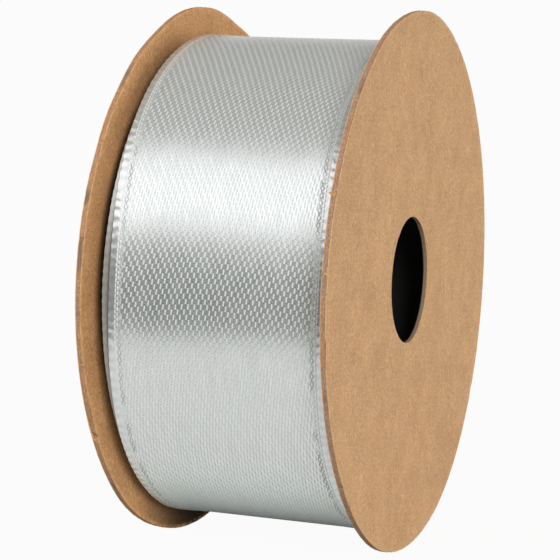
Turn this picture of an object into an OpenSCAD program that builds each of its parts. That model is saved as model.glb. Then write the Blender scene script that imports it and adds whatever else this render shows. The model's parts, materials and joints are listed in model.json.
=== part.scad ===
// Ribbon spool: two kraft-lined board discs on a paper tube, with a satin ribbon wound between them.
// The spool's axis lies along Y, +Z is up, and the origin is the spool's centre.
// The drawing modules below work with the axis along Z, and lay() turns it down onto Y.

/* [Discs] */
// Diameter of each disc
flange_d = 96; // [92:1:120]
// Diameter of the spindle hole through both discs
hole_d = 21.2; // [12:0.2:36]
// Thickness of the grey board inside each disc
board_t = 0.6; // [0.4:0.05:1.5]
// Thickness of each kraft paper facing
liner_t = 0.1; // [0.05:0.01:0.2]

/* [Core tube] */
// Outside diameter of the tube that the ribbon is wound on
core_d = 45.5; // [42:0.5:50]
// Thickness of each of the tube's three plies
ply_t = 0.5; // [0.3:0.05:1]
// Leg of the glue fillet inside each end of the tube
glue_leg = 1.5; // [0.8:0.1:3]

/* [Ribbon] */
// Width of the ribbon
ribbon_w = 38; // [25:1:40]
// Thickness of the ribbon
ribbon_t = 0.35; // [0.2:0.05:0.4]
// Air between one turn and the next
turn_gap = 0.08; // [0.05:0.01:0.12]
// Number of turns wound on the tube
turns = 48; // [10:1:50]
// Number of those turns that make the outer group, which covers the rest
outer_turns = 2; // [1:1:4]
// Space between the ribbon's edge and the front disc
side_gap = 1.4; // [0.2:0.1:3]
// Space between the ribbon's other edge and the back disc
back_gap = 2; // [0.2:0.1:4]

/* [Loose end] */
// Length of ribbon beyond the line where the loose end lifts off the roll
tail_len = 38; // [20:1:60]
// Angle of the ribbon's cut end above the level line through the axis
tail_end_angle = 15; // [12:1:30]
// Slit between the outer turns and the loose end
fold_gap = 0.2; // [0.1:0.05:0.5]

/* [Tapes] */
// Width of the tape that holds the ribbon's inner end to the tube
start_tape_w = 25; // [10:1:25]
// Length of the inner tape along the turn
start_tape_len = 12; // [6:1:30]
// Thickness of the inner tape
start_tape_t = 0.1; // [0.05:0.01:0.2]
// Width of the tape that holds the loose end down
end_tape_w = 19; // [10:1:25]
// Length of the outer tape along the turn, half of it past the cut end
end_tape_len = 14; // [8:1:16]
// Thickness of the outer tape
end_tape_t = 0.1; // [0.06:0.01:0.2]

/* [Hidden] */
$fn = 128;

// How far a cut runs past the faces that it opens
overcut = 1;

// The tube is as long as the space between the discs, which the ribbon's width and two gaps set
core_len = side_gap + ribbon_w + back_gap;
space_half = core_len / 2;

// The discs, counted outwards from the space between them
board_start = space_half + liner_t;
outer_liner_start = board_start + board_t;

// The tube is wound in three plies, counted from its bore outwards
plies = 3;
core_r = core_d / 2;
core_bore_r = core_r - plies * ply_t;

// The ribbon's spiral is made of half turns, drawn in turn about two centres half a pitch apart
pitch = ribbon_t + turn_gap;
first_turn_r = core_r + start_tape_t;
last_half_turn = 2 * turns - 1;
first_outer_half_turn = last_half_turn - 2 * outer_turns;
ribbon_start = space_half - side_gap - ribbon_w;
ribbon_middle = ribbon_start + ribbon_w / 2;

// The loose end is the last stretch of the last half turn
tail_r = half_turn_r(last_half_turn);
tail_x = half_turn_x(last_half_turn);
fold_angle = tail_end_angle + arc_angle(tail_len, tail_r + ribbon_t / 2);

// Inner radius of a half turn, counted from 0 at the tube
function half_turn_r(i) = first_turn_r + i * pitch / 2;

// Centre of a half turn: the lower halves share the axis and the upper halves stand off it
function half_turn_x(i) = i % 2 == 0 ? 0 : pitch / 2;

// Angle in degrees that a length covers on an arc
function arc_angle(length, radius) = length / radius * 180 / PI;

// Lays the axis down from Z onto Y, with the front disc towards -Y
module lay() {
    rotate([90, 0, 0]) children();
}

// Flat ring or tube about the axis, from z = start upwards
module ring(outer_r, inner_r, start, thickness) {
    translate([0, 0, start])
        difference() {
            cylinder(r = outer_r, h = thickness);
            translate([0, 0, -overcut]) cylinder(r = inner_r, h = thickness + 2 * overcut);
        }
}

// Bent strip about the axis, drawn back from its larger angle so that half turns meet exactly
module bent_strip(inner_r, thickness, from_angle, to_angle, start, width) {
    rotate([0, 0, to_angle])
        rotate_extrude(angle = from_angle - to_angle)
            translate([inner_r, start]) square([thickness, width]);
}

// One layer of a disc: side is 1 for the front disc and -1 for the back one
module disc_layer(side, start, thickness) {
    lay()
        ring(flange_d / 2, hole_d / 2, side > 0 ? start : -start - thickness, thickness);
}

module front_outer_liner() {
    color("tan") disc_layer(1, outer_liner_start, liner_t);
}

module front_board() {
    color("gray") disc_layer(1, board_start, board_t);
}

module front_inner_liner() {
    color("peru") disc_layer(1, space_half, liner_t);
}

module back_inner_liner() {
    color("peru") disc_layer(-1, space_half, liner_t);
}

module back_board() {
    color("gray") disc_layer(-1, board_start, board_t);
}

module back_outer_liner() {
    color("tan") disc_layer(-1, outer_liner_start, liner_t);
}

// One ply of the tube, counted from 0 at its bore
module core_ply(number) {
    inner_r = core_bore_r + number * ply_t;
    lay()
        ring(inner_r + ply_t, inner_r, -space_half, core_len);
}

module core_inner_ply() {
    color("rosybrown") core_ply(0);
}

module core_middle_ply() {
    color("gray") core_ply(1);
}

module core_outer_ply() {
    color("peru") core_ply(2);
}

// Fillet of glue in the corner between a disc's inner face and the tube's bore
module glue_fillet() {
    rotate_extrude()
        polygon([
            [core_bore_r, space_half],
            [core_bore_r - glue_leg, space_half],
            [core_bore_r, space_half - glue_leg]
        ]);
}

module front_glue() {
    color("ivory") lay() glue_fillet();
}

module back_glue() {
    color("ivory") lay() mirror([0, 0, 1]) glue_fillet();
}

// Tape with glue on both sides, between the tube and the first of the ribbon
module start_tape() {
    color("khaki")
        lay()
            bent_strip(
                core_r, start_tape_t, -arc_angle(start_tape_len, core_r), 0,
                ribbon_middle - start_tape_w / 2, start_tape_w
            );
}

// Half a turn of ribbon: even ones pass under the tube and odd ones pass over it
module ribbon_half_turn(i, from_angle) {
    upper = i % 2 == 1;
    translate([half_turn_x(i), 0, 0])
        bent_strip(
            half_turn_r(i), ribbon_t, upper ? from_angle : 180, upper ? 180 : 360,
            ribbon_start, ribbon_w
        );
}

// The wound ribbon under its outer turns
module ribbon_inner_turns() {
    color("darkgray")
        lay()
            for (i = [0 : first_outer_half_turn - 1])
                ribbon_half_turn(i, 0);
}

// The outer turns, up to the fold where the loose end begins
module ribbon_outer_turns() {
    color("silver")
        lay() {
            for (i = [first_outer_half_turn : last_half_turn - 1])
                ribbon_half_turn(i, 0);
            ribbon_half_turn(last_half_turn, fold_angle + arc_angle(fold_gap, tail_r));
        }
}

// The loose end, from the fold to the cut end
module ribbon_tail() {
    color("lightgray")
        lay()
            translate([tail_x, 0, 0])
                bent_strip(tail_r, ribbon_t, tail_end_angle, fold_angle, ribbon_start, ribbon_w);
}

// Tape on the loose end: one half on top of it, a step down past the cut end, and one half on the turn below
module end_tape() {
    half_angle = arc_angle(end_tape_len / 2, tail_r);
    step_angle = arc_angle(end_tape_t, tail_r);
    start = ribbon_middle - end_tape_w / 2;
    color("khaki")
        lay()
            translate([tail_x, 0, 0]) {
                bent_strip(
                    tail_r + ribbon_t, end_tape_t, tail_end_angle - step_angle,
                    tail_end_angle + half_angle, start, end_tape_w
                );
                bent_strip(
                    tail_r, ribbon_t + end_tape_t, tail_end_angle - step_angle,
                    tail_end_angle, start, end_tape_w
                );
                bent_strip(
                    tail_r, end_tape_t, tail_end_angle - half_angle,
                    tail_end_angle, start, end_tape_w
                );
            }
}

front_outer_liner();
front_board();
front_inner_liner();
back_inner_liner();
back_board();
back_outer_liner();
core_inner_ply();
core_middle_ply();
core_outer_ply();
front_glue();
back_glue();
start_tape();
ribbon_inner_turns();
ribbon_outer_turns();
ribbon_tail();
end_tape();
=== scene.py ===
"""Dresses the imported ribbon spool: two kraft-lined board discs and a satin ribbon wound between them."""

import json
import math

import bpy
import numpy as np
from bpy.props import FloatProperty, FloatVectorProperty, IntProperty, PointerProperty
from bpy.types import Operator, Panel, PropertyGroup
from mathutils import Matrix, Vector

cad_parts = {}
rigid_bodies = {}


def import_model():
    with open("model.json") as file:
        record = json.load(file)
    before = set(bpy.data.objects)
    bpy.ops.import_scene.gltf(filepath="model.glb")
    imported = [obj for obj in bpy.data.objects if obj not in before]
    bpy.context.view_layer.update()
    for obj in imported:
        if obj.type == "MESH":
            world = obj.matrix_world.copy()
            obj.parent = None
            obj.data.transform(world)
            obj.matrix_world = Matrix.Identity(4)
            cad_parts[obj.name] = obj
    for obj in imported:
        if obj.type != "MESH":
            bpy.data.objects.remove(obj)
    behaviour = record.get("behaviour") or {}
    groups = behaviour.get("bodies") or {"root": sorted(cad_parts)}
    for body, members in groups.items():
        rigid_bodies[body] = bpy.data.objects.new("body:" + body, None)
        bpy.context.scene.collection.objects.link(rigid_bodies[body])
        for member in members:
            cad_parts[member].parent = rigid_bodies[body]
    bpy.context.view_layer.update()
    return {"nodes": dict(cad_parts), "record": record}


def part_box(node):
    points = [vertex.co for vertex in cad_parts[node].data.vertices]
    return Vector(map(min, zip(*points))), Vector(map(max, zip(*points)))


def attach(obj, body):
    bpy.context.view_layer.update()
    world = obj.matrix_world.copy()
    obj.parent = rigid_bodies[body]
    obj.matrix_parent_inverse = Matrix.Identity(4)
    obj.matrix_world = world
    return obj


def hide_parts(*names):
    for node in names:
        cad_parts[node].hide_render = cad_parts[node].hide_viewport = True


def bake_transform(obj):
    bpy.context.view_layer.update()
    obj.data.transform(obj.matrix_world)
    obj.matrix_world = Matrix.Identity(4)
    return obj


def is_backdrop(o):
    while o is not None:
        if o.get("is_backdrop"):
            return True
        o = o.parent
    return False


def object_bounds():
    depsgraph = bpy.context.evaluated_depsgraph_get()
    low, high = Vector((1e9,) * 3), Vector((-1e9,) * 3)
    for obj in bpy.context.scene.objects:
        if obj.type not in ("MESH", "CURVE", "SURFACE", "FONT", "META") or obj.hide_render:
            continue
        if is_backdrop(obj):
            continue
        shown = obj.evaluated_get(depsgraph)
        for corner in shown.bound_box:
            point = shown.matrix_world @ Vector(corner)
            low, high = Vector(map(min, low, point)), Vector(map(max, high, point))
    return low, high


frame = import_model()

bl_info = {
    "name": "Ribbon Spool",
    "version": (1, 0, 0),
    "blender": (4, 5, 0),
    "location": "View3D > Sidebar > Ribbon Spool",
    "description": "Satin ribbon wound between two kraft-lined card discs",
    "category": "Object",
}

# Every shape below is worked out in millimetres and turned into metres when its mesh is made.
MM = 0.001
FULL_TURN = 2 * math.pi
RECORD = frame["record"]
MOUNTS = {mount["name"]: mount for mount in RECORD["mounts"]}
HINGE = RECORD["behaviour"]["joints"][0]
SPOOL, LOOSE_END = HINGE["parent"], HINGE["child"]


def node_box(node):
    """A CAD node's lowest and highest corners in millimetres."""
    low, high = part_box(node)
    return np.array(low) / MM, np.array(high) / MM


def node_span(node):
    """Where a CAD node starts and ends along the spool's axis."""
    low, high = node_box(node)
    return low[1], high[1]


def node_r(node):
    """A round CAD node's outer radius."""
    return node_box(node)[1][2]


DISC_R = node_r("front_board")
BOARD_MIDDLE = sum(node_span("back_board")) / 2
HOLE_R = MOUNTS["spindle_bore"]["dims"]["r_mm"]
TUBE_R = node_r("core_outer_ply")
PLY = (TUBE_R - node_r("core_inner_ply")) / 2
WOUND_TOP = node_r("ribbon_outer_turns")
CLOTH_LOW, CLOTH_HIGH = node_span("ribbon_inner_turns")
CLOTH_HALF = float(CLOTH_HIGH - CLOTH_LOW) / 2


# ---------------------------------------------------------------- settings


def length(name, about, default):
    """A length in metres that a user may change."""
    return FloatProperty(name=name, description=about, default=default, unit="LENGTH", precision=5)


def angle(name, about, degrees):
    """An angle that a user may change."""
    return FloatProperty(name=name, description=about, default=math.radians(degrees), subtype="ANGLE")


def number(name, about, default):
    """A plain number that a user may change."""
    return FloatProperty(name=name, description=about, default=default)


def colour(name, about, default):
    """A colour that a user may change."""
    return FloatVectorProperty(
        name=name, description=about, default=default, subtype="COLOR", size=3, min=0, max=1
    )


class RibbonSpoolDiscs(PropertyGroup):
    """Sizes and colours of the two card discs."""

    front_lean: angle("Front lean", "How far the front disc leans out on the open side", 1.491)
    back_lean: angle("Back lean", "How far the back disc leans out on the open side", 0.43)
    back_tip: angle("Back tip", "How far the back disc's top leans in", 0.252)
    front_shift: length("Front shift", "How far the front disc sits in along the axis", 0.00023)
    front_bend: length("Front bend", "How far the front disc's top and bottom curl outwards", 0.0004)
    wobble: length("Wobble", "Height of the waves in each disc's faces", 0.00006)
    edge_wear: length("Edge wear", "Depth of the roughness along the cut edges", 0.00005)
    kraft: colour("Kraft", "Colour of the outer paper facings", (0.552, 0.328, 0.165))
    # Inside is the kraft painted darker and redder: painted shade between the discs.
    inside: colour("Inside", "Colour of the inner paper facings", (0.496, 0.263, 0.113))
    board: colour("Board", "Colour of the front board's cut edge", (0.33, 0.21, 0.14))
    back_board: colour("Back board", "Colour of the back board's cut edge", (0.37, 0.22, 0.125))
    # The lining is painted nearly black: painted shade inside the tube's bore.
    shaded_lining: colour("Lining", "Colour of the tube's dark inner ply", (0.0085, 0.007, 0.006))


class RibbonSpoolCloth(PropertyGroup):
    """Sizes and colours of the satin ribbon."""

    turns: IntProperty(name="Turns", description="Turns wound on the tube", default=48)
    thickness: length("Thickness", "Thickness of the ribbon", 0.00035)
    start_tape: length("Start tape", "Thickness of the tape under the first turn", 0.0001)
    sag: length("Sag", "How far the outermost turn hangs below the tube's axis", 0.00115)
    oval: number("Oval", "Share by which the outermost turn is flattened", 0.0042)
    dish: length("Dish", "How far the selvages stand above the middle", 0.00022)
    ruffle: length("Ruffle", "Height of the ruffles along the selvages", 0.00002)
    ruffle_pitch: length("Ruffle pitch", "Distance from ruffle to ruffle", 0.0017)
    wander: length("Wander", "How far the last turn strays towards the front disc", 0.00145)
    thread_pitch: length("Thread pitch", "Distance from one column of floats to the next", 0.00037)
    float_pitch: length("Float pitch", "Distance from float to float along a column", 0.0026)
    float_length: length("Float length", "Length of one float", 0.0009)
    lean: angle("Lean", "How far the columns of floats lean from the selvages", 3.3)
    bow: length("Bow", "How far the rows of floats lag at the selvages", 0.0025)
    stretch: number("Stretch", "Share by which the weave is pulled out below", 0.07)
    satin: colour("Satin", "Colour of the glossy ground", (0.66, 0.684, 0.668))
    floats: colour("Floats", "Colour of the duller floats", (0.55, 0.575, 0.555))


class RibbonSpoolStage(PropertyGroup):
    """Light, floor and camera."""

    floor: colour("Floor", "Colour of the floor", (0.45, 0.45, 0.45))
    softbox: number("Softbox", "Power of the softbox", 2.52)
    window: number("Window", "Strength of the window light", 2.5)
    walls: number("Walls", "Brightness of the room's walls", 0.98)
    ceiling: number("Ceiling", "Brightness above the walls", 0.41)
    lens: number("Lens", "Focal length in millimetres", 140.51)


# ---------------------------------------------------------------- finishes


class Signal:
    """A number, colour or place on its way through a node tree, which plain arithmetic works on."""

    def __init__(self, nodes, socket):
        self.nodes, self.socket = nodes, socket

    def __add__(self, other):
        return self.nodes.math("ADD", self, other)

    def __sub__(self, other):
        return self.nodes.math("SUBTRACT", self, other)

    def __rsub__(self, other):
        return self.nodes.math("SUBTRACT", other, self)

    def __mul__(self, other):
        return self.nodes.math("MULTIPLY", self, other)

    def __truediv__(self, other):
        return self.nodes.math("DIVIDE", self, other)

    def __pow__(self, other):
        return self.nodes.math("POWER", self, other)

    def __abs__(self):
        return self.nodes.math("ABSOLUTE", self)


class Nodes:
    """A node tree, built up a node at a time."""

    def __init__(self, tree):
        self.tree = tree
        tree.nodes.clear()

    def node(self, kind, inputs=(), **settings):
        """A new node with its settings made and its inputs filled, each by its name or number."""
        made = self.tree.nodes.new(kind)
        for key, value in settings.items():
            setattr(made, key, value)
        for key, value in dict(inputs).items():
            self.feed(made.inputs[key], value)
        return made

    def read(self, kind, inputs=(), output=0, **settings):
        """What one output of a new node gives."""
        return Signal(self, self.node(kind, inputs, **settings).outputs[output])

    def feed(self, socket, value):
        """Links a socket, or sets a plain value on it."""
        if isinstance(value, Signal):
            self.tree.links.new(value.socket, socket)
        elif socket.type == "RGBA":
            socket.default_value = (*value, 1)
        else:
            socket.default_value = value

    def math(self, operation, *values):
        return self.read("ShaderNodeMath", enumerate(values), operation=operation)

    def most(self, first, *others):
        """The highest of several signals."""
        for other in others:
            first = self.math("MAXIMUM", first, other)
        return first

    def cycle(self, value):
        """Place within the whole step that a value is in, from -0.5 to 0.5."""
        return self.math("FRACT", value) - 0.5

    def reach(self, x, z):
        """Distance from the axis."""
        return (x**2 + z**2) ** 0.5

    def scaled(self, vector, by):
        return self.read("ShaderNodeVectorMath", {0: vector, 1: by}, operation="MULTIPLY")

    def parts(self, vector):
        made = self.node("ShaderNodeSeparateXYZ", {0: vector})
        return [Signal(self, output) for output in made.outputs]

    def place(self):
        """The surface's own place in millimetres."""
        return self.scaled(self.read("ShaderNodeTexCoord", output="Object"), (1000, 1000, 1000))

    def wear(self):
        """The share in the mesh's wear attribute: a painted rim highlight on the facings, painted shade on
        the cloth, and nearness to the outer facing on a board's cut.
        """
        return self.read("ShaderNodeAttribute", output="Fac", attribute_name="wear")

    def noise(self, vector, scale, detail, roughness=0.5):
        inputs = {"Vector": vector, "Scale": scale, "Detail": detail, "Roughness": roughness}
        return self.read("ShaderNodeTexNoise", inputs)

    def flat_noise(self, x, y, detail, roughness=0.5):
        """Noise over two signals, in cells one unit wide."""
        flat = self.read("ShaderNodeCombineXYZ", {0: x, 1: y})
        return self.noise(flat, 1.0, detail, roughness)

    def between(self, value, low, high, to_low=0.0, to_high=1.0):
        """Runs smoothly from to_low to to_high as value goes from low to high."""
        inputs = {"Value": value, "From Min": low, "From Max": high, "To Min": to_low, "To Max": to_high}
        return self.read("ShaderNodeMapRange", inputs, interpolation_type="SMOOTHSTEP")

    def mix(self, amount, a, b):
        """A colour on its way from a to b."""
        return self.read("ShaderNodeMix", {0: amount, 6: a, 7: b}, 2, data_type="RGBA")

    def blend(self, amount, a, b):
        """A number on its way from a to b."""
        return self.read("ShaderNodeMix", {0: amount, 2: a, 3: b}, data_type="FLOAT")

    def bump(self, height, millimetres, **under):
        """A normal raised by height times millimetres, over the Normal under it where one is given."""
        inputs = {"Strength": 1.0, "Distance": millimetres * MM, "Height": height, **under}
        return self.read("ShaderNodeBump", inputs)


class Finish(Nodes):
    """One material, built round a surface shader."""

    def __init__(self, name):
        self.material = bpy.data.materials.new(name)
        self.material.use_nodes = True
        super().__init__(self.material.node_tree)
        self.surface = self.node("ShaderNodeBsdfPrincipled")
        shown = Signal(self, self.surface.outputs[0])
        self.output = self.node("ShaderNodeOutputMaterial", {"Surface": shown})

    def set(self, **values):
        """Sets the surface shader's own sockets and gives the material back."""
        for key, value in values.items():
            self.feed(self.surface.inputs[key.replace("_", " ")], value)
        return self.material


def tint(rgb, by):
    """A colour made lighter or darker."""
    return tuple(min(1.0, part * by) for part in rgb)


def kraft_paper(name, colour, slot_shade_r=0.0):
    """Brown kraft paper with its fibres, clouds and specks; an inner facing also gets painted shade beside
    the cloth.
    """
    f = Finish(name)
    place = f.place()
    strands = f.noise(f.scaled(place, (1.15, 1.0, 0.95)), 2.1, 3, 0.65)
    grain = f.noise(f.scaled(place, (1.15, 1.0, 0.85)), 3.4, 2, 0.7)
    streaks = f.noise(f.scaled(place, (1.0, 1.0, 0.45)), 0.9, 3, 0.6)
    tone = (f.noise(place, 0.16, 3) - 0.5) * 0.4
    for part, share in ((streaks, 0.3), (strands, 0.9), (grain, 1.35)):
        tone = tone + (part - 0.5) * share
    contrast = 0.54 if slot_shade_r else 0.44
    # The darker parts of the pulp are also the redder ones.
    warmth = (0.96, 1.02, 1.16)
    dark, light = (
        tuple(part * (1 + way * contrast * by) for part, by in zip(colour, warmth)) for way in (-1, 1)
    )
    paper = f.mix(tone + 0.5, dark, light)
    if slot_shade_r:
        # Painted shade: the facing is painted dark in the slot beside the wound cloth out to a given
        # radius, further out at the top, and in the corner at the bottom.
        x, _, z = f.parts(place)
        reach = f.reach(x, z - 0.5)
        slot_shade = f.between(reach, slot_shade_r, slot_shade_r - 2.4) * 0.86
        top_shade = f.between(reach, slot_shade_r + 5.5, slot_shade_r) * f.between(z, 22.0, 40.0, 0.0, 0.42)
        top_shade = top_shade * f.between(x, 3.0, -9.0)
        bottom_shade = f.between(z, -32.5, -42.0) * f.between(x, -30.0, 9.0)
        unshaded = (1 - bottom_shade * 0.95) ** 2.5
        paper = f.mix(f.most(slot_shade, top_shade, 1 - unshaded), paper, tint(colour, 0.04))
    # Each facing's rim is painted paler in streaks: a painted highlight along the rim.
    rim_streaks = f.noise(f.scaled(place, (0.5, 1.0, 0.5)), 1.6, 3, 0.7)
    rim_highlight = f.wear() * f.between(rim_streaks, 0.36, 0.62) * (0.6 if slot_shade_r else 0.3)
    paper = f.mix(rim_highlight, paper, tint(colour, 1.45))
    # A few darker specks lie in the middles of some cells of a scattered pattern.
    cells = f.node("ShaderNodeTexVoronoi", {"Vector": place, "Scale": 0.3}).outputs
    chosen = f.math("GREATER_THAN", f.parts(Signal(f, cells["Color"]))[0], 0.6)
    speck = f.between(Signal(f, cells["Distance"]), 0.055, 0.025) * chosen * 0.6
    paper = f.mix(speck, paper, tint(colour, 0.35))
    relief = f.bump(strands * 0.6 + grain * 0.5, 0.05)
    return f.set(Base_Color=paper, Roughness=0.88, Specular_IOR_Level=0.25, Normal=relief)


def cut_board(name, colour, bare):
    """Board where it was cut, in thin layers with torn fibres; bare is how seldom its grey core shows."""
    f = Finish(name)
    x, y, z = f.parts(f.place())
    along = f.math("ARCTAN2", z, x) * DISC_R
    layers = f.flat_noise(along * 0.35, y * 7.0, 3, 0.6)
    tears = f.flat_noise(along * 2.4, y * 2.4, 3, 0.7)
    patches = f.flat_noise(along * 0.11, y * 0.2, 2, 0.6)
    tone = (layers - 0.5) * 0.9 + (tears - 0.5) * 1.7
    shade = f.mix(tone + 0.5, tint(colour, 0.5), tint(colour, 1.5))
    # The punch left the board greyer round the hole.
    shade = f.mix(f.between(f.reach(x, z), 24.0, 14.0, 0.0, 0.7), shade, (0.2, 0.165, 0.125))
    core = f.between(patches, bare, bare + 0.14) * f.between(tears, 0.3, 0.55) * 0.8
    shade = f.mix(core, shade, (0.13, 0.1, 0.078))
    # Next to the outer facing the cut keeps a rusty line, except where the core shows.
    rusty = f.between(f.wear() + tears * 0.5, 0.9, 1.2) * f.between(patches, 0.62, 0.42) * 0.75
    shade = f.mix(rusty, shade, (0.42, 0.16, 0.05))
    relief = f.bump(layers + tears, 0.08)
    return f.set(Base_Color=shade, Roughness=0.95, Specular_IOR_Level=0.1, Normal=relief)


def tube_board(name, colour):
    """Plain wound tube paper."""
    f = Finish(name)
    fibres = f.noise(f.scaled(f.place(), (1.0, 0.3, 1.0)), 1.5, 3, 0.6)
    shade = f.mix(fibres, tint(colour, 0.75), tint(colour, 1.25))
    return f.set(Base_Color=shade, Roughness=0.9, Normal=f.bump(fibres, 0.05))


def dried_glue(name, colour):
    """Yellowish glue, a little glossy."""
    f = Finish(name)
    lumps = f.noise(f.place(), 0.9, 2)
    shade = f.mix(lumps, tint(colour, 0.85), tint(colour, 1.1))
    gloss = f.between(lumps, 0.2, 0.8, 0.25, 0.45)
    return f.set(Base_Color=shade, Roughness=gloss, Normal=f.bump(lumps, 0.2))


def matt_tape(name, colour):
    """Frosted tape that lets the cloth under it show."""
    f = Finish(name)
    place = f.place()
    frost = f.noise(place, 3.0, 3)
    creases = f.noise(f.scaled(place, (1.0, 0.12, 1.0)), 1.2, 2)
    f.set(Base_Color=f.mix(frost, tint(colour, 0.94), tint(colour, 1.06)), Alpha=0.38)
    return f.set(Roughness=f.between(frost, 0.3, 0.7, 0.42, 0.58), Normal=f.bump(creases, 0.04))


def satin_weave(name, cloth):
    """Glossy satin: a bright ground of fine threads with short dull floats, and a plain selvage."""
    f = Finish(name)
    step = cloth.float_pitch / MM
    across, along, _ = f.parts(f.read("ShaderNodeUVMap", uv_map="cloth"))

    # The columns of floats lean across the strip, stand closer on one side, and stray a little.
    drift = (f.flat_noise(across * 0.2, along * 0.1, 1) - 0.5) * 0.24
    crowded = across * (across * -0.0011 + 1.0)
    crossing = along * -math.tan(cloth.lean) + crowded + drift
    columns = crossing / (cloth.thread_pitch / MM)
    column = f.math("FLOOR", columns)
    in_column = f.cycle(columns)
    # Rows of floats bow: they run ahead near the middle of the strip and lag at its selvages.
    off_middle = across - 0.9
    bow = off_middle * off_middle * (cloth.bow / MM / CLOTH_HALF**2)
    uneven = (f.flat_noise(column, along * 0.35, 1) - 0.5) * 0.3
    in_float = f.cycle((along + bow - column * (step / 3) + uneven) / step)
    # The twist of the yarn slants each float within its column, and a pit at each of its ends is painted
    # dark as shade.
    slanted = abs(in_float * 1.1 + in_column)
    from_float = abs(in_float)
    half_float = cloth.float_length / cloth.float_pitch / 2
    floats = f.between(slanted, 0.42, 0.24) * f.between(from_float, half_float + 0.03, half_float - 0.05)
    pit_shade = f.between(slanted, 0.5, 0.3) * f.between(from_float, half_float - 0.01, half_float + 0.04)
    pit_shade = pit_shade * f.between(from_float, half_float + 0.15, half_float + 0.08)

    # The selvage: a plain margin, two lines of stitches with rungs between, a chain of small loops
    # and a narrow gap before the field of floats.
    from_edge = CLOTH_HALF - abs(across)
    field = f.between(from_edge, 2.05, 2.2)
    beat = along / (step / 3)
    rungs = f.between(from_edge, 1.1, 1.2) * f.between(from_edge, 1.72, 1.62)
    stitches = [rungs * f.between(f.math("FRACT", beat), 0.16, 0.08) * 0.7]
    for line, ahead in ((1.2, 0.0), (1.62, 0.5)):
        in_line = f.between(abs(from_edge - line), 0.15, 0.07)
        stitches.append(in_line * f.between(abs(f.cycle(beat + ahead)), 0.38, 0.3))
    stitches = f.most(*stitches)
    sheen = f.flat_noise(across * 0.5, along * 0.25, 2)
    swing = abs(abs(f.cycle(along / step)) * 1.2 - 0.3)
    chain = f.between(abs(abs(from_edge - 1.95) - swing), 0.15, 0.07)
    chain = chain * f.between(sheen, 0.38, 0.56, 0.35, 1.0)
    dull = f.most(floats * field, stitches, chain)

    threads = f.flat_noise(crossing * 2.7, along * 0.3, 2, 0.6) * 0.6
    threads = threads + f.flat_noise(crossing * 3.1, along * 0.07, 1) * 0.4
    ground = f.mix(f.between(threads, 0.3, 0.7), tint(cloth.satin, 0.91), tint(cloth.satin, 1.07))
    # Painted shade: the pits at the floats' ends darken the ground.
    ground = f.mix(pit_shade * field * 0.4, ground, tint(cloth.satin, 0.3))
    thread = f.mix(stitches, tuple(cloth.floats), tint(cloth.floats, 1.15))
    thread = f.mix(chain, thread, tint(cloth.floats, 0.66))
    shade = f.mix(dull, ground, thread)
    # The margin outside the stitches is drawn into lobes, with a crease after every second stitch,
    # bumped in and painted darker as shade.
    crease = f.between(abs(f.cycle(beat * 0.5 + sheen * 1.2)), 0.46, 0.0)
    crease = crease * f.between(from_edge, 1.5, 0.8)
    shade = f.mix(crease * 0.2, shade, tint(cloth.satin, 0.4))
    # A lower turn's edge that peeps out from under the last one is painted dark and brownish: painted
    # shade under the last turn.
    wear = f.wear()
    shade = f.mix(wear, shade, (0.135, 0.115, 0.088))
    dull = f.most(dull, wear * 0.8)
    return f.set(
        Base_Color=shade,
        Metallic=f.blend(dull, 0.75, 0.1),
        Roughness=f.blend(dull, f.between(sheen, 0.2, 0.8, 0.29, 0.35), 0.6),
        Anisotropic=0.6,
        Tangent=f.read("ShaderNodeTangent", direction_type="UV_MAP", uv_map="cloth"),
        Normal=f.bump(threads * 0.35 - dull, 0.012, Normal=f.bump(crease, -0.035)),
    )


# ---------------------------------------------------------------- mesh building


def stray(seed, at, cell, around=0.0):
    """A smooth random line between -1 and 1 with a new value every cell, closed after around."""
    count = round(around / cell) if around else int(np.max(at) / cell) + 3
    values = np.random.default_rng(seed).uniform(-1, 1, count)
    steps = np.asarray(at, float) / (around / count if around else cell)
    first = np.floor(steps).astype(int)
    share = ease(steps - first, 0, 1)
    return values[first % count] * (1 - share) + values[(first + 1) % count] * share


def ease(value, low, high):
    """Smooth step from 0 at low to 1 at high."""
    share = np.clip((np.asarray(value, float) - low) / (high - low), 0, 1)
    return share * share * (3 - 2 * share)


def ring_faces(rings, around, closed):
    """Quads between neighbouring rings of a shell, each ring closed on itself."""
    ring = np.arange(rings if closed else rings - 1)[:, None] * around
    after = (ring + around) % (rings * around)
    spot = np.arange(around)[None, :]
    beside = (spot + 1) % around
    quads = np.stack([ring + spot, ring + beside, after + beside, after + spot], axis=-1)
    return quads.reshape(-1, 4)


def both_faces(values):
    """Rows across a strip's upper face, carried on back across its lower one."""
    return np.concatenate([values, values[:, ::-1]], axis=1)


def closed_strip(over, under):
    """Points and quads of a closed strip from the rows across its upper and lower faces."""
    points = np.concatenate([over, under[:, ::-1]], axis=1)
    rows, around = points.shape[:2]
    spot = np.arange(around // 2 - 1)
    cap = np.stack([spot, around - 1 - spot, around - 2 - spot, spot + 1], axis=-1)
    last_cap = (cap + (rows - 1) * around)[:, ::-1]
    return points.reshape(-1, 3), np.concatenate([ring_faces(rows, around, False), cap, last_cap])


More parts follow.
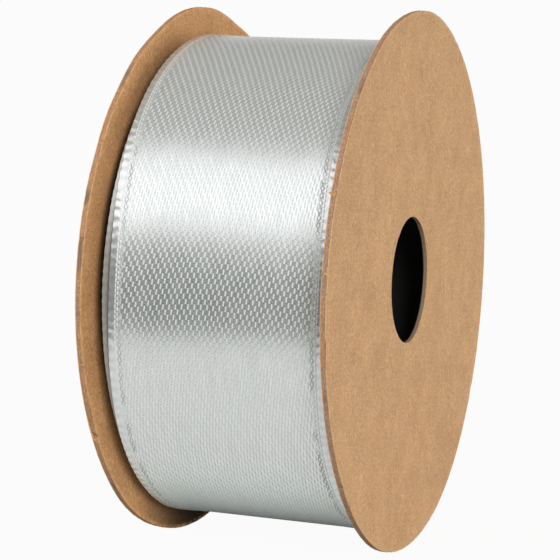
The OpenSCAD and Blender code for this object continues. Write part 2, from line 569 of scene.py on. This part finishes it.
def make_piece(name, shell, finish, node=None, body=SPOOL, uv=None, wear=None):
    """A piece from a shell's points in millimetres and its quads, with its finish, slot and body.

    It stands for a CAD node where one is given. uv holds one pair per point, and wear one number, which
    some finishes use for painted highlight and shade.
    """
    points, quads = shell
    mesh = bpy.data.meshes.new(name)
    mesh.vertices.add(len(points))
    mesh.vertices.foreach_set("co", (np.asarray(points, float) * MM).ravel())
    mesh.loops.add(quads.size)
    mesh.loops.foreach_set("vertex_index", quads.ravel())
    mesh.polygons.add(len(quads))
    mesh.polygons.foreach_set("loop_start", np.arange(0, quads.size, 4))
    mesh.polygons.foreach_set("loop_total", np.full(len(quads), 4))
    mesh.update(calc_edges=True)
    if uv is not None:
        layer = mesh.uv_layers.new(name="cloth")
        layer.data.foreach_set("uv", uv.reshape(-1, 2)[quads.ravel()].ravel())
    mesh.validate()
    if wear is not None:
        mesh.attributes.new("wear", "FLOAT", "POINT").data.foreach_set("value", wear.ravel())
    mesh.polygons.foreach_set("use_smooth", np.ones(len(mesh.polygons), bool))
    mesh.set_sharp_from_angle(angle=math.radians(50))
    mesh.materials.append(shared_finish(finish))
    piece = bpy.data.objects.new(name, mesh)
    bpy.context.scene.collection.objects.link(piece)
    if node:
        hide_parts(node)
    if body:
        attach(piece, body)
    return piece


def finish_node(node, material):
    """Gives a CAD node that stays in sight its finish."""
    shown = frame["nodes"][node]
    for held in shown.material_slots:
        held.link = "OBJECT"
        held.material = material
    if not shown.material_slots:
        shown.data.materials.append(material)


# ---------------------------------------------------------------- discs

# Steps round each disc, and rings of points on each face between its hole and its rim.
RIM_STEPS = 1800
FACE_RINGS = 11
# Share by which the cut spread the rim's thickness.
RIM_FLARE = 0.28
# A disc's layers, counted from the outside: node, rows of points on the cut edge, finish and slot.
DISC_LAYERS = (
    ("outer_liner", 1, "kraft_paper", "kraft_paper"),
    ("board", 6, "cut_board_{end}", "grey_board"),
    ("inner_liner", 1, "kraft_inside_shaded", "kraft_paper"),
)
ALL_LAYERS = (0, 1, 2)


class DiscShape:
    """One disc's plane, centre, hole and worn outline, which its three layers share."""

    def __init__(self, discs, seed, centre, hole, lean_x, lean_z, shift, bend, marks):
        self.seed, self.centre, self.hole, self.marks = seed, centre, hole, marks
        self.lean_x, self.lean_z, self.shift, self.bend = lean_x, lean_z, shift, bend
        self.wobble, self.wear = discs.wobble / MM, discs.edge_wear / MM

    def warp(self, x, z):
        """How far the disc stands off its CAD place: its lean, its curl, and waves out beyond the tube."""
        reach = np.hypot(x, z) / DISC_R
        round_it = np.arctan2(z, x)
        wave = np.sin(2 * round_it + self.seed) + 0.6 * np.sin(3 * round_it + 2.1 * self.seed)
        plane = self.shift + self.lean_x * (x - self.centre[0]) + self.lean_z * (z - self.centre[1])
        curl = self.bend * (z / DISC_R) ** 2 * ease(reach, 0.45, 0.9)
        return plane + curl + self.wobble * wave * ease(reach, 0.5, 1.0)

    def ragged(self, seed, turn, radius, cell):
        """A random line round an edge of that radius, between -1 and 1."""
        return stray(self.seed + seed, turn % FULL_TURN * radius, cell, FULL_TURN * radius)

    def rim(self, turn, layer):
        """Distance of the rim from the disc's middle round the turn, for one layer."""
        rough = 0.4 * self.ragged(7 * layer + 1, turn, DISC_R, 0.9)
        rough = rough + 0.5 * self.ragged(7 * layer + 2, turn, DISC_R, 0.34)
        radius = DISC_R - 0.05 + 0.05 * self.ragged(0, turn, DISC_R, 14) + self.wear * rough
        for degrees, width, depth, layers in self.marks:
            if layer in layers:
                off = np.radians((np.degrees(turn) - degrees + 180) % 360 - 180)
                radius -= depth * np.exp(-((off * DISC_R / width) ** 2))
        return radius

    def bore(self, turn, layer):
        """Distance of the hole's edge from its middle round the turn; the punch tore it a little tall."""
        rough = 0.4 * self.ragged(7 * layer + 3, turn, HOLE_R, 0.8)
        rough = rough + 0.6 * self.ragged(7 * layer + 4, turn, HOLE_R, 0.3)
        return HOLE_R + 0.28 + 0.27 * np.sin(turn) ** 2 + self.wear * rough


# Each mark is its place in degrees from +X towards +Z, its width and depth, and the layers it wears.
FRONT_MARKS = (
    (323.5, 0.7, 0.32, ALL_LAYERS),
    (322.2, 0.35, 0.18, (0, 1)),
    (183.2, 1.3, 0.42, (0,)),
    (181.4, 0.5, 0.3, (0,)),
    (152.6, 0.5, 0.3, (0,)),
    (94.0, 14.0, 0.35, ALL_LAYERS),
    (268.0, 16.0, 0.3, ALL_LAYERS),
    (144.0, 9.0, 0.14, (0,)),
    (124.0, 9.0, 0.22, (0,)),
    (136.0, 1.2, 0.16, (0,)),
    (169.6, 0.8, 0.22, (0,)),
    (214.0, 0.6, 0.18, (0, 1)),
    (58.0, 0.8, 0.15, (0, 1)),
)
BACK_MARKS = (
    (164.0, 0.5, 0.12, ALL_LAYERS),
    (67.0, 8.0, 0.7, ALL_LAYERS),
    (288.0, 6.0, 0.3, ALL_LAYERS),
    (229.0, 9.0, -0.28, ALL_LAYERS),
    (129.0, 6.0, 0.28, ALL_LAYERS),
    (146.0, 5.0, 0.22, ALL_LAYERS),
    (199.5, 3.2, 0.3, (2,)),
    (203.8, 1.4, 0.25, (1, 2)),
    (206.6, 0.7, 0.45, (1, 2)),
    (110.0, 8.0, 0.45, ALL_LAYERS),
)
# Each tuft is its place in degrees, its place along the axis, its size and its number of fibres.
FRONT_TUFTS = (
    (152.6, -21.0, 0.62, 20),
    (168.0, -21.2, 0.3, 5),
    (171.0, -21.1, 0.25, 4),
    (183.5, -21.1, 0.25, 4),
    (323.0, -21.3, 0.2, 3),
    (35.0, -21.2, 0.22, 3),
)
BACK_TUFTS = (
    (207.0, 21.0, 0.32, 6),
    (163.5, 20.9, 0.22, 3),
    (131.5, 21.0, 0.2, 3),
    (12.0, 21.2, 0.25, 4),
    (290.0, 21.1, 0.25, 4),
)


def front_shape(discs):
    """The front disc leans out towards the open side, and its hole is punched off centre."""
    lean, shift, bend = math.tan(discs.front_lean), discs.front_shift / MM, -discs.front_bend / MM
    return DiscShape(discs, 11, (0.9, -0.2), (-1.16, 0.53), lean, 0.0, shift, bend, FRONT_MARKS)


def back_shape(discs):
    """The back disc sits lower and leans a little the other way."""
    lean, tip = -math.tan(discs.back_lean), -math.tan(discs.back_tip)
    return DiscShape(discs, 23, (2.09, -0.72), (0.4, -0.2), lean, tip, 0.0, 0.0, BACK_MARKS)


def build_disc(end, shape):
    """The three layers of the front or the back disc, each with its faces, its rim and its hole's edge."""
    turn = np.linspace(0, FULL_TURN, RIM_STEPS, endpoint=False)[:, None]
    spread = np.append(np.linspace(0, 0.96, FACE_RINGS - 3), (0.978, 0.99, 1.0))
    for layer, (part, edge_rows, finish, slot) in enumerate(DISC_LAYERS):
        node = f"{end}_{part}"
        low, high = node_span(node)
        rows = np.linspace(0, 1, edge_rows + 2)[1:-1]
        # Round the section: low face outwards, up the rim, high face inwards, down the hole.
        share = np.concatenate([spread, np.ones(edge_rows), spread[::-1], np.zeros(edge_rows)])
        level = np.concatenate([np.zeros(FACE_RINGS), rows, np.ones(FACE_RINGS), rows[::-1]])
        rim = np.repeat(shape.rim(turn, layer), len(share), axis=1)
        bore = np.repeat(shape.bore(turn, layer), len(share), axis=1)
        for row in range(edge_rows):
            ragged = shape.wear * (shape.ragged(31 * row + layer, turn[:, 0], DISC_R, 0.31) - 0.3)
            rim[:, FACE_RINGS + row] += ragged
            bore[:, -1 - row] -= 0.6 * ragged
        radius = bore * (1 - share) + rim * share
        x = shape.hole[0] * (1 - share) + shape.centre[0] * share + radius * np.cos(turn)
        z = shape.hole[1] * (1 - share) + shape.centre[1] * share + radius * np.sin(turn)
        middle = math.copysign(BOARD_MIDDLE, low)
        off_middle = (low + (high - low) * level - middle) * (1 + RIM_FLARE * ease(share, 0.965, 0.995))
        y = middle + off_middle + shape.warp(x, z)
        points = np.stack([x, y, z], axis=-1).reshape(-1, 3)
        # A facing's wear, which carries its painted rim highlight, grows at the rim, and the board's tells
        # how near its outer facing a place is.
        outward = 1 - level if low < 0 else level
        wear = np.broadcast_to(outward if part == "board" else ease(share, 0.977, 0.995), x.shape)
        shell = points, ring_faces(RIM_STEPS, len(share), True)
        make_piece(f"{node}_sheet", shell, finish.format(end=end), node, wear=wear)


def fibre_tuft(seed, shape, degrees, across, size, count):
    """Points and quads of a few curled fibres, torn loose at one place on a disc's rim."""
    rng = np.random.default_rng(seed)
    turn = math.radians(degrees)
    out = np.array([math.cos(turn), 0, math.sin(turn)])
    x, _, z = (DISC_R - 0.05) * out + (shape.centre[0], 0, shape.centre[1])
    root = np.array([x, across + float(shape.warp(x, z)), z])
    sides, steps = 6, 16
    # Fibres stay this near the board, along the axis.
    nearby = 0.75
    share = np.linspace(0, 1, steps)[:, None]
    spin = np.linspace(0, FULL_TURN, sides, endpoint=False)
    points, quads = [], []
    for first in range(0, count * sides * steps, sides * steps):
        start, pull = rng.uniform(-0.4, 0.4, 3) * size, rng.normal(size=(3, 3)) * size
        curl = np.sin(share * rng.uniform(3, 7) + rng.uniform(0, 6)) * pull[0] * 0.5
        outwards = out * size * (0.35 + 0.5 * share * rng.uniform(0, 1))
        path = root + start + curl + share * pull[1] * 0.35 + outwards
        path[:, 1] = root[1] + np.clip(path[:, 1] - root[1], -nearby, nearby)
        ahead = np.gradient(path, axis=0)
        ahead /= np.linalg.norm(ahead, axis=1, keepdims=True)
        side = np.cross(ahead, pull[2] / np.linalg.norm(pull[2]))
        side /= np.linalg.norm(side, axis=1, keepdims=True)
        other = np.cross(ahead, side)
        thick = rng.uniform(0.045, 0.08) * (1 - 0.7 * share**2)
        ring = path[:, None] + (thick * np.cos(spin))[..., None] * side[:, None]
        ring = ring + (thick * np.sin(spin))[..., None] * other[:, None]
        end = first + (steps - 1) * sides
        points.append(ring.reshape(-1, 3))
        quads.append(ring_faces(steps, sides, False) + first)
        quads.append(np.array([[0, 5, 4, 3], [0, 3, 2, 1]]) + first)
        quads.append(np.array([[0, 1, 2, 3], [0, 3, 4, 5]]) + end)
    return np.concatenate(points), np.concatenate(quads)


def build_tufts(end, shape, tufts):
    """Loose fibres round a disc's rim, all in one piece."""
    points, quads, first = [], [], 0
    for order, tuft in enumerate(tufts):
        more, faces = fibre_tuft(shape.seed + 100 + order, shape, *tuft)
        points.append(more)
        quads.append(faces + first)
        first += len(more)
    shell = np.concatenate(points), np.concatenate(quads)
    make_piece(f"{end}_rim_fibres", shell, "torn_fibres")


# ---------------------------------------------------------------- tube

# Steps round the tube, and the gap left between its ends and the discs.
TUBE_STEPS = 240
TUBE_GAP = 0.02


def build_tube(discs):
    """The tube's three plies and the glue inside its ends, cut to meet the leaning discs."""
    shapes = {-1: front_shape(discs), 1: back_shape(discs)}
    flats = dict(zip((-1, 1), node_span("core_outer_ply")))
    turn = np.linspace(0, FULL_TURN, TUBE_STEPS, endpoint=False)

    def sleeve(name, node, section, finish):
        """A round piece whose section has a radius, an end, -1 or 1, and a distance from it per corner."""
        corners = []
        for radius, end, inset in section:
            x, z = radius * np.cos(turn), radius * np.sin(turn)
            y = flats[end] + shapes[end].warp(x, z) - end * inset
            corners.append(np.stack([x, y, z], axis=-1))
        points = np.stack(corners, axis=1).reshape(-1, 3)
        make_piece(name, (points, ring_faces(TUBE_STEPS, len(section), True)), finish, node)

    for ply, finish in (("inner", "tube_lining"), ("middle", "tube_board"), ("outer", "tube_board")):
        node = f"core_{ply}_ply"
        inside, outside = node_r(node) - PLY, node_r(node)
        section = [(inside, -1, TUBE_GAP), (outside, -1, TUBE_GAP)]
        section += [(outside, 1, TUBE_GAP), (inside, 1, TUBE_GAP)]
        sleeve(f"{node}_paper", node, section, finish)
    bore = node_r("core_inner_ply") - PLY
    for side, end in ((-1, "front"), (1, "back")):
        node = f"{end}_glue"
        low, high = node_span(node)
        leg = high - low
        # The glue dried hollow between the disc and the bore.
        section = [(bore, side, TUBE_GAP)]
        for a in np.linspace(math.pi / 2, 0, 7):
            inset = leg * (1 - math.sin(a)) + TUBE_GAP
            section.append((bore - leg * (1 - math.cos(a)) - TUBE_GAP, side, inset))
        # The back one's corners run the other way, so that its faces look outwards too.
        sleeve(f"{node}_bead", node, section[::-side], "dried_glue")
    finish_node("start_tape", shared_finish("matt_tape"))


# ---------------------------------------------------------------- ribbon

# Steps along the outer turns and along the last stretch.
OUTER_STEPS = 920
LOOSE_STEPS = 640
# The last stretch takes over from the outer turns here, in degrees before the last half turn.
SPLICE = 65


class Winding:
    """Where the strip lies. Its place is the angle wound so far, from its inner end on the tube."""

    def __init__(self, cloth):
        self.thick = cloth.thickness / MM
        self.first_r = TUBE_R + cloth.start_tape / MM
        halves = 2 * cloth.turns - 1
        self.pitch = 2 * (WOUND_TOP - self.thick - self.first_r) / halves
        self.last_half = halves * math.pi
        self.last_r = self.first_r + halves * self.pitch / 2
        # A round figure for the radius of the outer turns.
        self.outer_r = 1.9 * self.first_r
        hinge = np.array(HINGE["pos_m"]) / MM
        self.fold = math.atan2(hinge[2], hinge[0] - self.pitch / 2)
        cut = math.asin(node_box("ribbon_tail")[0][2] / self.last_r)
        self.end = self.last_half + math.pi - cut
        self.sag = (0.35 * cloth.sag / MM, -cloth.sag / MM)
        self.oval = 1 - cloth.oval
        self.middle = (CLOTH_LOW + CLOTH_HIGH) / 2

    def point(self, wound, lift, y):
        """The point a lift above the strip's inner face."""
        half = np.floor(wound / math.pi + 1e-9)
        radius = self.first_r + half * self.pitch / 2 + lift
        share = wound / self.end
        x = np.where(half % 2 == 1, self.pitch / 2, 0) + share * self.sag[0]
        z = share * self.sag[1] + radius * np.sin(-wound) * (1 - share * (1 - self.oval))
        return np.stack(np.broadcast_arrays(x + radius * np.cos(-wound), y, z), axis=-1)

    def length_to(self, wound):
        """Length of strip from its inner end, along its middle."""
        half = np.floor(wound / math.pi + 1e-9)
        middle = self.first_r + self.thick / 2
        whole = math.pi * (half * middle + self.pitch / 2 * half * (half - 1) / 2)
        return whole + (wound - half * math.pi) * (middle + half * self.pitch / 2)

    def facing(self, wound):
        """Angle above the level on the open side, -X, in degrees from -180 to 180."""
        return (np.degrees(wound - self.last_half) + 180) % 360 - 180


def strip_across():
    """Places across the strip, close together along the selvages."""
    margin = np.concatenate([[0, 0.08], np.arange(0.22, 2.0, 0.2), np.arange(2.3, 6.5, 0.7)])
    field = np.linspace(7.0 - CLOTH_HALF, CLOTH_HALF - 7.0, 18)
    return np.concatenate([margin - CLOTH_HALF, field, (CLOTH_HALF - margin)[::-1]])


def cloth_strip(way, cloth, wound, last_turn):
    """The shell, uv and wear (painted shade) of a length of the strip, between the first wound angle and
    the last.
    """
    across = strip_across()
    wound = wound[:, None]
    run = way.length_to(wound)
    level = way.facing(wound)
    from_edge = CLOTH_HALF - np.abs(across)

    # Selvages stand up and are ruffled, less so where the last turn presses on them.
    dish, ruffle = cloth.dish / MM, cloth.ruffle / MM
    if not last_turn:
        dish, ruffle = 0.7 * dish, 0.4 * ruffle
    lively = 0.35 + 0.65 * np.abs(stray(5, run, 17.0))
    phase = FULL_TURN * (run + 0.5 * stray(6, run, 3.1)) / (cloth.ruffle_pitch / MM)
    edge_wave = np.where(across < 0, np.sin(phase), np.sin(phase * 0.93 + 2))
    near_edge = 1 - ease(from_edge, 0.3, 1.1)
    lift = dish * (1 - ease(from_edge, 0.6, 7.0)) + ruffle * lively * edge_wave * near_edge
    lift = lift + 0.02 * stray(8, run, 9.0) + 0.015 * stray(9, run, 4.0)

    # All turns lie a little towards the front disc where they face the open side, and the last one
    # strays further there.
    loose, lobe_level, above, below = 0.15, 9, 29.0, 33.0
    if last_turn:
        width = np.where(level < lobe_level, below, above)
        lobe = np.exp(-(((level - lobe_level) / width) ** 2))
        aside = -cloth.wander / MM * lobe - loose * ease(np.abs(level - 12), 150, 60)
    else:
        aside = -loose * ease(np.abs(level), 150, 60)
    wriggle = 0.05 * lively * near_edge * np.sin(phase + 1.3) * np.sign(across)
    y = way.middle + across + aside + wriggle

    # The weave of the last turn is pulled out below the open side and pushed together above it.
    pulled = 0.0
    if last_turn:
        rate = 1.6
        swing = np.radians(np.clip(rate * (level - 3), -180, 180))
        pulled = cloth.stretch * way.outer_r / rate * (1 - np.cos(swing))
    uv = np.stack(np.broadcast_arrays(across, run + pulled), axis=-1)

    # Under the last turn, the edge towards the back disc carries painted shade, most of all where the last
    # turn's edge lies on it.
    wear = np.zeros(y.shape)
    if not last_turn:
        begun = np.where(wound > way.last_half - 1.5 * FULL_TURN, ease(level, -65, -40), 1.0)
        under_last = way.end - FULL_TURN
        wear = begun * ease(wound, under_last + 1.0, under_last) * ease(level, 110, 80)
        wear = wear * ease(from_edge, 3.4, 2.4) * (across > 0)
        wear = wear * (0.62 + 0.33 * ease(from_edge, 0.4, 1.2)) * (1 - 0.6 * ease(level, 14, 34))

    shell = closed_strip(way.point(wound, way.thick + lift, y), way.point(wound, lift, y))
    return shell, both_faces(uv), both_faces(wear)


def build_ribbon(cloth):
    """The satin strip: the wound mass, the outer turns, and the last turn with its loose end."""
    way = Winding(cloth)
    outer_start = way.last_half - 2 * FULL_TURN
    splice = way.last_half - math.radians(SPLICE)

    def sheet(start, end):
        run = float(way.length_to(end) - way.length_to(start))

    # The wound mass under the outer turns has plain steps round each turn.
    wound = np.append(np.arange(0, outer_start, math.radians(3)), outer_start)[:, None]
    across = np.array([-1.0, -0.97, -0.5, 0.0, 0.5, 0.97, 1.0]) * CLOTH_HALF
    over, under = (way.point(wound, lift, way.middle + across) for lift in (way.thick, 0))
    uv = both_faces(np.stack(np.broadcast_arrays(across, way.length_to(wound)), axis=-1))
    shell = closed_strip(over, under)
    mass = make_piece("ribbon_wound_mass", shell, "satin", "ribbon_inner_turns", uv=uv)
    sheet(0, outer_start)

    # The outer turns reach to the splice, and the last stretch goes on to the loose end.
    shell, uv, wear = cloth_strip(way, cloth, np.linspace(outer_start, splice, OUTER_STEPS), False)
    outer = make_piece(
        "ribbon_outer_cloth", shell, "satin", "ribbon_outer_turns", uv=uv, wear=wear
    )
    sheet(outer_start, splice)
    shell, uv, wear = cloth_strip(way, cloth, np.linspace(splice, way.end, LOOSE_STEPS), True)
    loose = make_piece(
        "ribbon_loose_cloth", shell, "satin", "ribbon_tail", body=None, uv=uv, wear=wear
    )
    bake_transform(loose)
    sheet(splice, way.end)


def build_end_tape(cloth):
    """Frosted tape with pinked ends, half on the loose end and half on the turn below."""
    way = Winding(cloth)
    low, high = node_span("end_tape")
    half_width, half_length, tape_t, tooth = (high - low) / 2, 7.0, 0.06, 0.35
    across = np.linspace(-half_width, half_width, 77)
    share = np.linspace(-1, 1, 60)[:, None]
    trim = 2 * tooth * np.abs(across % 1.0 - 0.5)
    past = share * (half_length - trim) / way.last_r
    wound = way.end + past
    # Past the cut the tape steps down from the loose end onto the turn below.
    step_down = ease(past * way.outer_r, -0.05, 0.75)
    lift = (way.thick + 0.03) * (1 - step_down) + 0.05 * step_down
    lift = lift + 0.02 * stray(41, np.abs(across), 2.5)
    middle_x = way.pitch / 2 + way.sag[0]
    faces = []
    for radius in (way.last_r + lift + tape_t, way.last_r + lift):
        x = middle_x + radius * np.cos(-wound)
        z = way.sag[1] + radius * way.oval * np.sin(-wound)
        faces.append(np.stack(np.broadcast_arrays(x, (high + low) / 2 + across, z), axis=-1))
    make_piece("end_tape_strip", closed_strip(*faces), "matt_tape", "end_tape", LOOSE_END)


# ---------------------------------------------------------------- stage

# The kinds of ray that find the floor nearly white, and how nearly.
WHITE_RAYS = ("Is Camera Ray", "Is Glossy Ray", "Is Transmission Ray")
WHITENESS = 0.95
# How far the floor reaches, its gap under the spool, and how high over it the panels begin.
FLOOR_REACH = 6.0
FLOOR_GAP = 0.00005
PANEL_LIFT = 0.0001


def away(azimuth, elevation, distance):
    """A point at that distance from the middle; azimuth 0 is towards -Y and -90 towards -X."""
    a, e = math.radians(azimuth), math.radians(elevation)
    return Vector((math.sin(a) * math.cos(e), -math.cos(a) * math.cos(e), math.sin(e))) * distance


def add_light(name, kind, place, **settings):
    """A light that shines from a place towards the middle."""
    data = bpy.data.lights.new(name, kind)
    for key, value in settings.items():
        setattr(data, key, value)
    made = bpy.data.objects.new(name, data)
    made.location = place
    made.rotation_euler = (-place).to_track_quat("-Z", "Y").to_euler()
    bpy.context.scene.collection.objects.link(made)


def flat_panel(name, corners, material):
    """A four-cornered stage panel."""
    mesh = bpy.data.meshes.new(name)
    mesh.from_pydata([tuple(corner) for corner in corners], [], [(0, 1, 2, 3)])
    mesh.materials.append(material)
    made = bpy.data.objects.new(name, mesh)
    bpy.context.scene.collection.objects.link(made)
    made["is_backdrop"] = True
    return made


def white_room(stage):
    """A room with pale walls under a darker and warmer ceiling."""
    world = bpy.data.worlds.new("white_room")
    bpy.context.scene.world = world
    world.use_nodes = True
    room = Nodes(world.node_tree)
    rise = room.parts(room.read("ShaderNodeTexCoord", output="Generated"))[2]
    ceiling = tuple(stage.ceiling * part for part in (1.0, 0.98, 0.93))
    tone = room.mix(room.between(rise, 0.05, 0.4), (stage.walls,) * 3, ceiling)
    room.node("ShaderNodeOutputWorld", {"Surface": room.read("ShaderNodeBackground", {"Color": tone})})


def pale_floor(stage):
    """A floor that keeps its shadows but looks nearly white, straight or in a mirror or glass."""
    f = Finish("pale_floor")
    f.set(Base_Color=tuple(stage.floor), Roughness=0.9, Specular_IOR_Level=0.0)
    looks = f.most(*(f.read("ShaderNodeLightPath", output=kind) for kind in WHITE_RAYS))
    plain, white = Signal(f, f.surface.outputs[0]), f.read("ShaderNodeEmission")
    mixed = f.read("ShaderNodeMixShader", {0: looks * WHITENESS, 1: plain, 2: white})
    f.feed(f.output.inputs["Surface"], mixed)
    return f.material


def build_stage(stage):
    """Pale floor, white surroundings, soft lights and two panels that only the satin mirrors."""
    bpy.context.scene.view_settings.view_transform = "Standard"
    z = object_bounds()[0].z - FLOOR_GAP
    corners = [(FLOOR_REACH * x, FLOOR_REACH * y, z) for x, y in ((-1, -1), (1, -1), (1, 1), (-1, 1))]
    flat_panel("floor", corners, pale_floor(stage))
    white_room(stage)
    add_light(
        "softbox", "AREA", away(-125, 45, 0.85), energy=stage.softbox, color=(0.968, 0.966, 1.03),
        shape="RECTANGLE", size=1.3, size_y=0.45,
    )
    add_light("window", "SUN", away(-47, 23, 1), energy=stage.window, angle=math.radians(30))

    # A dark screen stands on the floor, a little way out from the open side.
    dark = Finish("dark_panel")
    dark.set(Base_Color=(0.002, 0.016, 0.006), Roughness=1.0, Specular_IOR_Level=0.0)
    foot = away(-111, 0, 0.196)
    foot.z = z + PANEL_LIFT
    along = Vector((0, 0, 1)).cross(away(-149, 0, 1)).normalized()
    up = Vector((0, 0, 0.117))
    left, right = foot - along * 0.4, foot + along * 0.12
    screen = (left, right, right + up, left + up)

    # A glowing panel on the floor, seen only in reflections, paints the floor's shade under the spool:
    # its glow fades from the open side inwards.
    shade = Finish("shade_panel")
    painted_floor_shade = shade.between(shade.parts(shade.place())[0], -31.0, -2.0, 0.93, 0.04)
    shade.set(Base_Color=(0, 0, 0), Emission_Color=(0.95, 1.0, 0.96), Emission_Strength=painted_floor_shade)
    near, far, side, level = -0.031, 0.08, 0.1, z + PANEL_LIFT
    mat = ((near, -side, level), (far, -side, level), (far, side, level), (near, side, level))

    for name, corners, finish in (("dark_panel", screen, dark), ("shade_under", mat, shade)):
        panel = flat_panel(name, corners, finish.material)
        panel.visible_camera = panel.visible_diffuse = panel.visible_shadow = False
        panel.visible_transmission = panel.visible_volume_scatter = False

    build_camera(stage)


def build_camera(stage):
    """A long lens from the open side, a little above the axis."""
    back = away(-68.782, 10.959, 1)
    onward = -back
    right = onward.cross(Vector((0, 0, 1))).normalized()
    up = right.cross(onward)
    # The camera is turned aside, tilted and rolled a little from where it would face the middle.
    turn = Matrix.Rotation(math.radians(0.562), 3, up)
    onward, right = turn @ onward, turn @ right
    turn = Matrix.Rotation(math.radians(-0.151), 3, right)
    onward, up = turn @ onward, turn @ up
    turn = Matrix.Rotation(math.radians(0.3), 3, onward)
    right, up = turn @ right, turn @ up
    data = bpy.data.cameras.new("camera")
    data.sensor_width, data.lens = 36, stage.lens
    data.clip_start, data.clip_end = 0.01, 20
    camera = bpy.data.objects.new("camera", data)
    pose = Matrix((right, up, -onward)).transposed().to_4x4()
    distance = 8.2378 * DISC_R * MM
    pose.translation = Vector((0.0009, 0, -0.0002)) + back * distance
    camera.matrix_world = pose
    bpy.context.scene.collection.objects.link(camera)
    bpy.context.scene.camera = camera


# ---------------------------------------------------------------- add-on

FINISHES = {}


def shared_finish(name):
    """A finish that several pieces share, made when it is first asked for."""
    discs = bpy.context.scene.ribbonspool_discs
    slots = {slot["slot"]: slot["base_color"] for slot in RECORD["materials"]}
    if name not in FINISHES:
        maker, *looks = {
            "kraft_paper": (kraft_paper, tuple(discs.kraft)),
            "torn_fibres": (kraft_paper, tint(discs.kraft, 1.15)),
            # The inner facings' finish carries painted shade: a darker, redder colour and a dark slot out
            # to 40.1 mm.
            "kraft_inside_shaded": (kraft_paper, tuple(discs.inside), 40.1),
            "cut_board_front": (cut_board, tuple(discs.board), 0.62),
            "cut_board_back": (cut_board, tuple(discs.back_board), 0.56),
            "tube_board": (tube_board, slots["tube_board"]),
            # The tube's inner ply is painted nearly black: painted shade in the bore.
            "tube_lining": (tube_board, tuple(discs.shaded_lining)),
            "dried_glue": (dried_glue, slots["glue"]),
            "matt_tape": (matt_tape, slots["tape"]),
            "satin": (satin_weave, bpy.context.scene.ribbonspool_cloth),
        }[name]
        FINISHES[name] = maker(name, *looks)
    return FINISHES[name]


class RIBBONSPOOL_OT_front_disc(Operator):
    """Builds the front disc's two facings, its board and its loose fibres"""

    bl_idname = "ribbonspool.front_disc"
    bl_label = "Front Disc"

    def execute(self, context):
        shape = front_shape(context.scene.ribbonspool_discs)
        build_disc("front", shape)
        build_tufts("front", shape, FRONT_TUFTS)
        return {"FINISHED"}


class RIBBONSPOOL_OT_back_disc(Operator):
    """Builds the back disc's two facings, its board and its loose fibres"""

    bl_idname = "ribbonspool.back_disc"
    bl_label = "Back Disc"

    def execute(self, context):
        shape = back_shape(context.scene.ribbonspool_discs)
        build_disc("back", shape)
        build_tufts("back", shape, BACK_TUFTS)
        return {"FINISHED"}


class RIBBONSPOOL_OT_tube(Operator):
    """Builds the paper tube and the glue that holds the discs to it"""

    bl_idname = "ribbonspool.tube"
    bl_label = "Tube"

    def execute(self, context):
        build_tube(context.scene.ribbonspool_discs)
        return {"FINISHED"}


class RIBBONSPOOL_OT_ribbon(Operator):
    """Winds the satin ribbon and lays its loose end"""

    bl_idname = "ribbonspool.ribbon"
    bl_label = "Ribbon"

    def execute(self, context):
        build_ribbon(context.scene.ribbonspool_cloth)
        return {"FINISHED"}


class RIBBONSPOOL_OT_end_tape(Operator):
    """Tapes the loose end down"""

    bl_idname = "ribbonspool.end_tape"
    bl_label = "End Tape"

    def execute(self, context):
        build_end_tape(context.scene.ribbonspool_cloth)
        return {"FINISHED"}


class RIBBONSPOOL_OT_stage(Operator):
    """Sets the floor, the lights and the camera"""

    bl_idname = "ribbonspool.stage"
    bl_label = "Stage"

    def execute(self, context):
        build_stage(context.scene.ribbonspool_stage)
        return {"FINISHED"}


class RIBBONSPOOL_PT_sidebar(Panel):
    """Lists the spool's pieces and the settings that they are built from"""

    bl_idname = "RIBBONSPOOL_PT_sidebar"
    bl_label = "Ribbon Spool"
    bl_space_type = "VIEW_3D"
    bl_region_type = "UI"
    bl_category = "Ribbon Spool"

    def draw(self, context):
        for title, name, makers in (
            ("Discs", "ribbonspool_discs", ("front_disc", "back_disc", "tube")),
            ("Ribbon", "ribbonspool_cloth", ("ribbon", "end_tape")),
            ("Stage", "ribbonspool_stage", ("stage",)),
        ):
            box = self.layout.box()
            box.label(text=title)
            settings = getattr(context.scene, name)
            for key in settings.__annotations__:
                box.prop(settings, key)
            for maker in makers:
                box.operator(f"ribbonspool.{maker}")


SETTINGS = {
    "ribbonspool_discs": RibbonSpoolDiscs,
    "ribbonspool_cloth": RibbonSpoolCloth,
    "ribbonspool_stage": RibbonSpoolStage,
}
CLASSES = (
    *SETTINGS.values(),
    RIBBONSPOOL_OT_front_disc,
    RIBBONSPOOL_OT_back_disc,
    RIBBONSPOOL_OT_tube,
    RIBBONSPOOL_OT_ribbon,
    RIBBONSPOOL_OT_end_tape,
    RIBBONSPOOL_OT_stage,
    RIBBONSPOOL_PT_sidebar,
)


def register():
    for cls in CLASSES:
        bpy.utils.register_class(cls)
    for name, kind in SETTINGS.items():
        setattr(bpy.types.Scene, name, PointerProperty(type=kind))


def unregister():
    for name in SETTINGS:
        delattr(bpy.types.Scene, name)
    for cls in reversed(CLASSES):
        bpy.utils.unregister_class(cls)


def main():
    """Builds the whole spool and its stage."""
    register()
    bpy.ops.ribbonspool.front_disc()
    bpy.ops.ribbonspool.back_disc()
    bpy.ops.ribbonspool.tube()
    bpy.ops.ribbonspool.ribbon()
    bpy.ops.ribbonspool.end_tape()
    bpy.ops.ribbonspool.stage()


if __name__ == "__main__":
    main()
